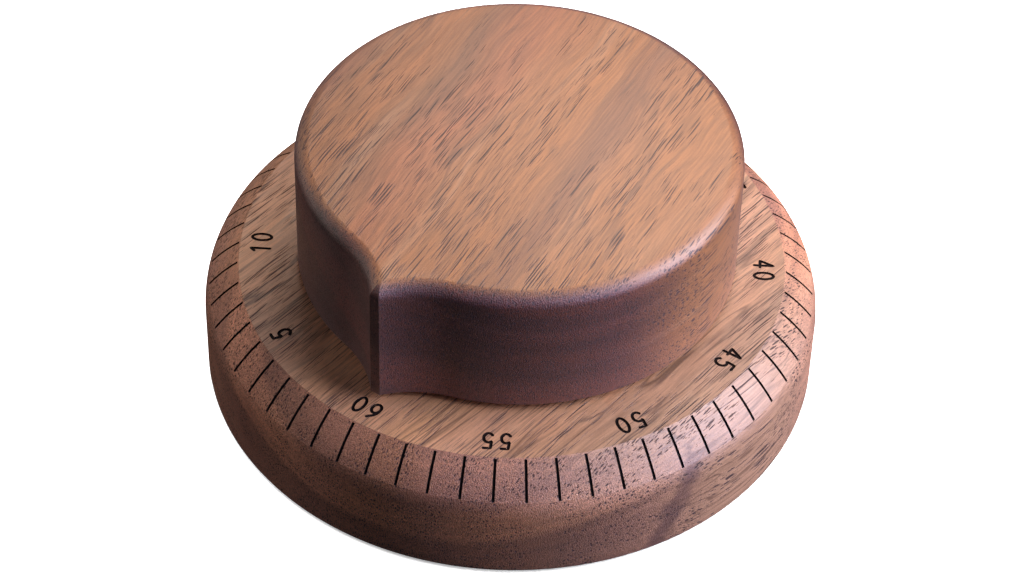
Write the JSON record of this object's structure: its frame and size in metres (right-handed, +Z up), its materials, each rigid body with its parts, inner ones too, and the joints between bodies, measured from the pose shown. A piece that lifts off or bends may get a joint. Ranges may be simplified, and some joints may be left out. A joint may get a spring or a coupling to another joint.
{
  "type": "rotary countdown timer",
  "caption": "Round wooden dial timer: a turned walnut base marked in minutes, with a pointed walnut knob over a mechanical movement.",
  "frame": {"origin": "on the spindle's axis, at the surface that the timer stands on", "axes": "+Z up along the spindle, -Y towards the pointer's tip and the sixty mark, minutes counting up clockwise seen from above"},
  "size_m": [0.084, 0.084, 0.0378],
  "materials": {
    "walnut": "oiled satin walnut",
    "walnut_knob": "oiled satin walnut",
    "black_plastic": "fine matt moulding",
    "black_rubber": "matt silicone",
    "brass": "stamped, lightly brushed",
    "steel": "turned and stamped steel",
    "plated_steel": "bright zinc plate",
    "spring_steel": "blued"
  },
  "bodies": {
    "case": {"base_body": "walnut", "bottom_cover": "black_plastic", "cover_screws": "plated_steel", "grip_ring": "black_rubber", "top_plate": "brass", "back_plate": "brass", "pillars": "steel", "pillar_screws": "plated_steel", "mount_spacers": "steel", "mount_screws": "plated_steel", "upper_bush": "brass", "lower_bush": "brass", "mainspring": "spring_steel", "spring_post": "steel", "bell": "plated_steel", "bell_post": "brass", "bell_screw": "plated_steel", "hammer_spring": "spring_steel", "hammer_spring_post": "steel"},
    "knob_and_spindle": {"knob": "walnut_knob", "knob_insert": "brass", "insert_screws": "plated_steel", "spindle": "steel", "alarm_cam": "steel", "main_wheel": "brass", "ratchet_wheel": "steel", "click": "steel", "click_rivet": "brass", "click_spring": "spring_steel"},
    "second_shaft": {"second_arbor": "steel", "second_wheel": "brass"},
    "third_shaft": {"third_arbor": "steel", "third_wheel": "brass"},
    "escape_shaft": {"escape_arbor": "steel", "escape_wheel": "brass"},
    "balance": {"pallet_arbor": "steel", "pallet_lever": "steel", "balance_bar": "brass"},
    "alarm_hammer": {"hammer_arbor": "steel", "trip_lever": "steel", "hammer": "steel"}
  },
  "joints": [
    {"name": "knob_turn", "type": "hinge", "parent": "case", "child": "knob_and_spindle", "pos_m": [0, 0, 0.0185], "axis": [0, 0, 1], "range_deg": [-360, 0], "stiffness_Nm_per_rad": 0.002},
    {"name": "second_wheel_turn", "type": "hinge", "parent": "case", "child": "second_shaft", "pos_m": [0.017, 0, 0.009], "axis": [0, 0, 1], "range_deg": [0, 2700]},
    {"name": "third_wheel_turn", "type": "hinge", "parent": "case", "child": "third_shaft", "pos_m": [0.01269, 0.01205, 0.009], "axis": [0, 0, 1], "range_deg": [-18900, 0]},
    {"name": "escape_wheel_turn", "type": "hinge", "parent": "case", "child": "escape_shaft", "pos_m": [0.00341, 0.01767, 0.009], "axis": [0, 0, 1], "range_deg": [0, 127575]},
    {"name": "balance_swing", "type": "hinge", "parent": "case", "child": "balance", "pos_m": [-0.00407, 0.01753, 0.009], "axis": [0, 0, 1], "range_deg": [-5, 5]},
    {"name": "hammer_swing", "type": "hinge", "parent": "case", "child": "alarm_hammer", "pos_m": [-0.0135, -0.01609, 0.009], "axis": [0, 0, 1], "range_deg": [-5, 0], "stiffness_Nm_per_rad": 0.0002}
  ],
  "couplings": [
    {"joint": "second_wheel_turn", "follows": "knob_turn", "ratio": -7.5},
    {"joint": "third_wheel_turn", "follows": "knob_turn", "ratio": 52.5},
    {"joint": "escape_wheel_turn", "follows": "knob_turn", "ratio": -354.38}
  ]
}
